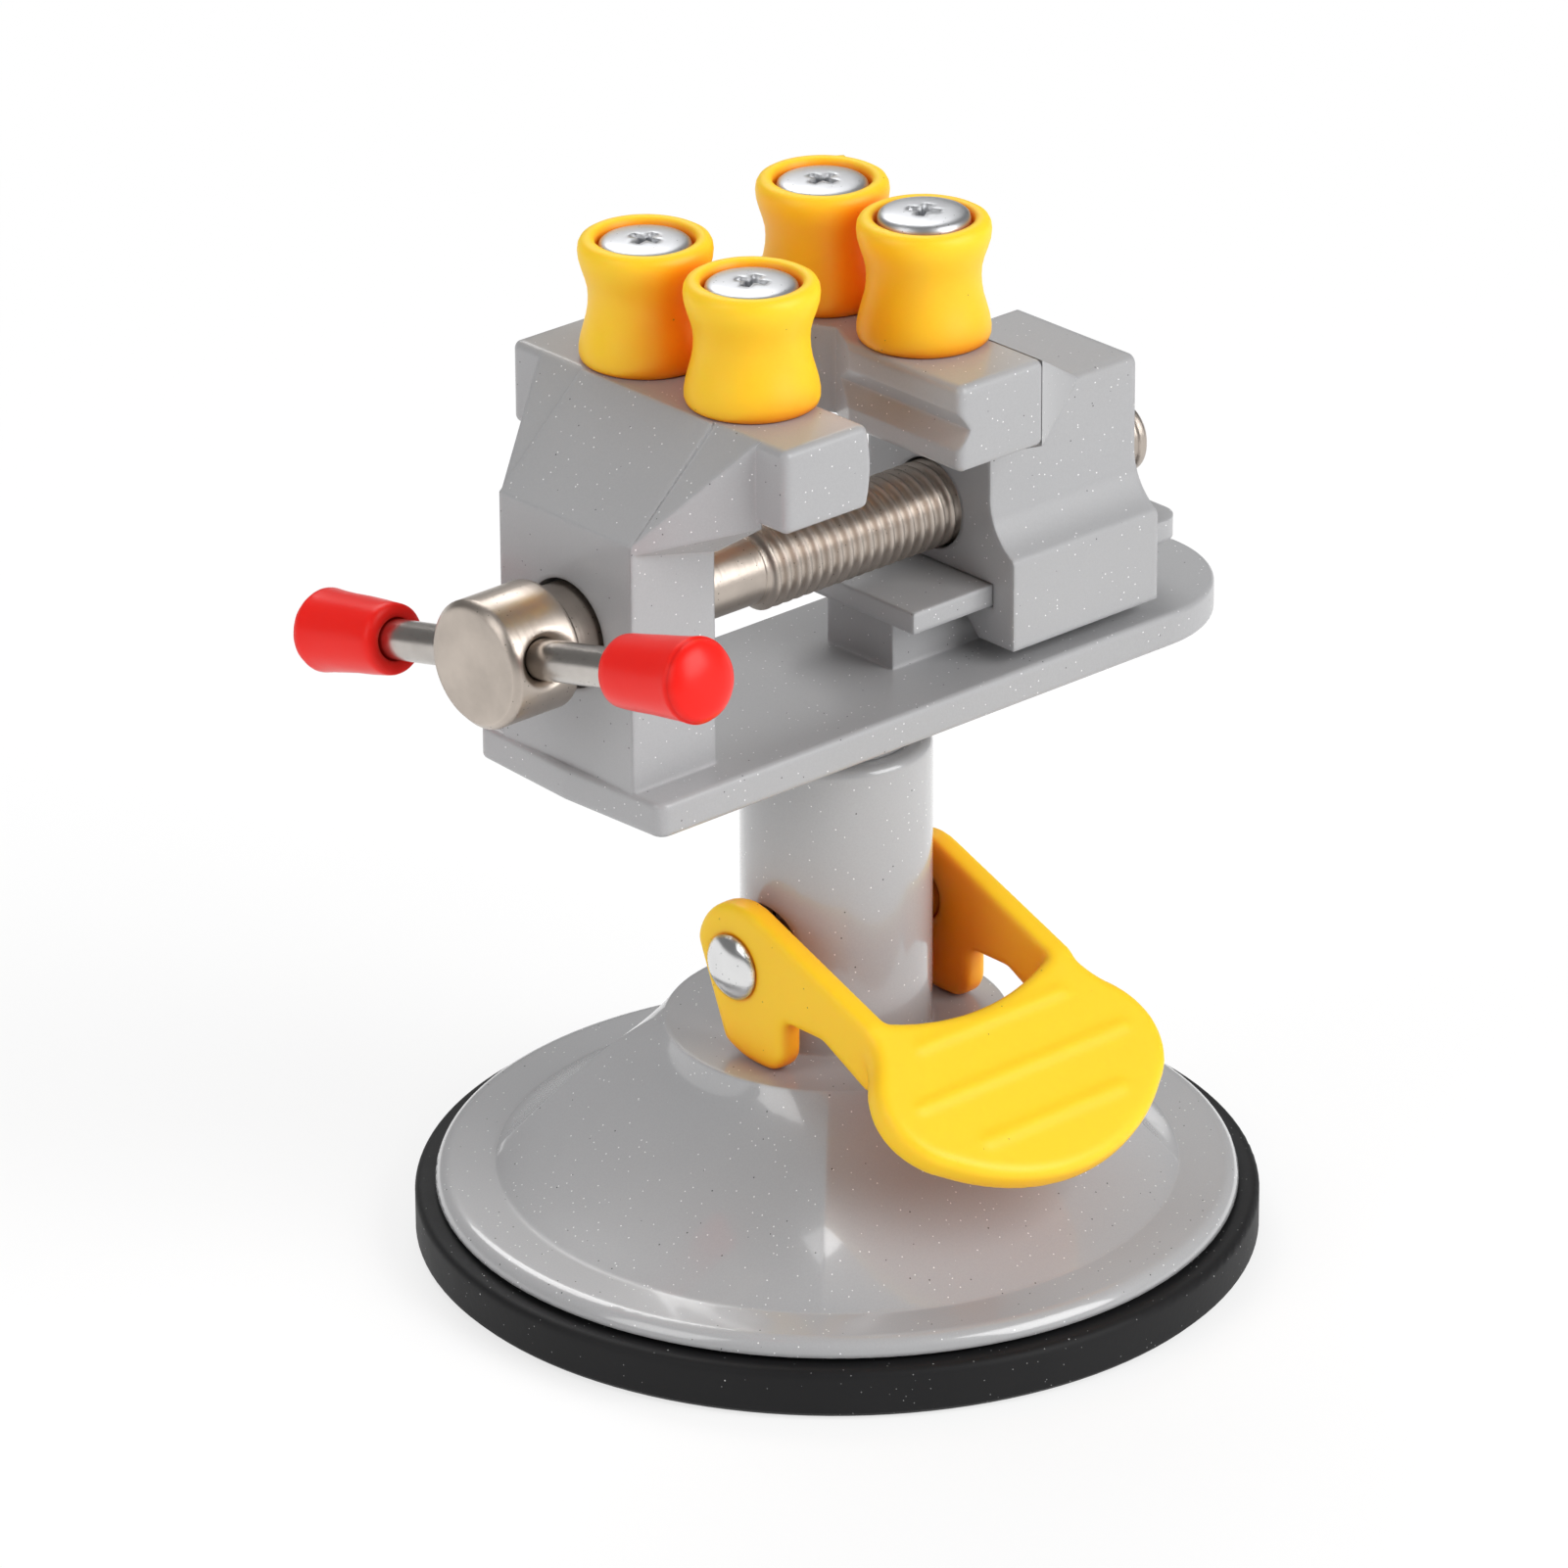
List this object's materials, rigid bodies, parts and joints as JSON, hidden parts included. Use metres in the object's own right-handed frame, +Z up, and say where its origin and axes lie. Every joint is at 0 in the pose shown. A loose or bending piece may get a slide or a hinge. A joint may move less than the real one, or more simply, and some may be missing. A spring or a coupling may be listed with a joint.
{
  "type": "suction base vise",
  "caption": "Small bench vise on a suction foot: a lever lifts the rubber cup, a screw with a cross bar closes the moving jaw along a rail, and waisted pegs on the jaws hold round work",
  "frame": {"origin": "middle of the rubber foot's underside, on the post's axis", "axes": "+X runs along the lead screw from its handle to the moving jaw, +Y is away from the lever's paddle, +Z is up along the post"},
  "size_m": [0.1031, 0.094, 0.1212],
  "materials": {
    "foot_paint": "glossy silver-grey paint on die-cast metal",
    "vise_paint": "satin silver-grey paint with fine specks on die-cast metal",
    "cup_rubber": "soft black rubber",
    "lever_yellow": "moulded yellow plastic, satin",
    "peg_yellow": "moulded yellow plastic, satin",
    "cap_red": "dipped red vinyl",
    "screw_steel": "oiled turned steel with a rolled thread",
    "bar_steel": "drawn bright steel",
    "pin_chrome": "chromed, domed head",
    "zinc_steel": "zinc-plated steel",
    "spring_steel": "dark spring steel",
    "plunger_metal": "plain die-cast metal"
  },
  "bodies": {
    "base": {"base_housing": "foot_paint", "suction_cup": "cup_rubber"},
    "stem": {"cup_stud": "zinc_steel", "plunger": "plunger_metal", "lever_pin": "pin_chrome", "pin_clip": "spring_steel"},
    "lever": {"lever": "lever_yellow"},
    "head": {"vise_bed": "vise_paint", "bed_screw": "zinc_steel", "bed_washer": "zinc_steel", "fixed_near_peg": "peg_yellow", "fixed_near_screw": "zinc_steel", "fixed_far_peg": "peg_yellow", "fixed_far_screw": "zinc_steel"},
    "jaw": {"moving_jaw": "vise_paint", "moving_near_peg": "peg_yellow", "moving_near_screw": "zinc_steel", "moving_far_peg": "peg_yellow", "moving_far_screw": "zinc_steel"},
    "screw": {"lead_screw": "screw_steel", "screw_clip": "spring_steel"},
    "bar": {"tommy_bar": "bar_steel", "near_cap": "cap_red", "far_cap": "cap_red"}
  },
  "joints": [
    {"name": "stem_slide", "type": "slide", "parent": "base", "child": "stem", "axis": [0, 0, -1], "range_m": [0, 0.0036], "deforming": ["suction_cup"]},
    {"name": "lever_swing", "type": "hinge", "parent": "stem", "child": "lever", "pos_m": [0, 0, 0.0361], "axis": [-1, 0, 0], "range_deg": [0, 60]},
    {"name": "head_swivel", "type": "hinge", "parent": "base", "child": "head", "pos_m": [0, 0, 0.0582], "axis": [0, 0, 1], "continuous": true},
    {"name": "screw_turn", "type": "hinge", "parent": "head", "child": "screw", "pos_m": [0, 0, 0.08265], "axis": [1, 0, 0], "range_deg": [-2400, 2400]},
    {"name": "jaw_slide", "type": "slide", "parent": "head", "child": "jaw", "axis": [1, 0, 0], "range_m": [-0.01, 0.01]},
    {"name": "bar_slide", "type": "slide", "parent": "screw", "child": "bar", "axis": [0, -0.9755, 0.2198], "range_m": [-0.0117, 0.0111]}
  ],
  "couplings": [
    {"joint": "stem_slide", "follows": "lever_swing", "m_per_rad": 0.0034377},
    {"joint": "screw_turn", "follows": "jaw_slide", "rad_per_m": -4188.8}
  ]
}
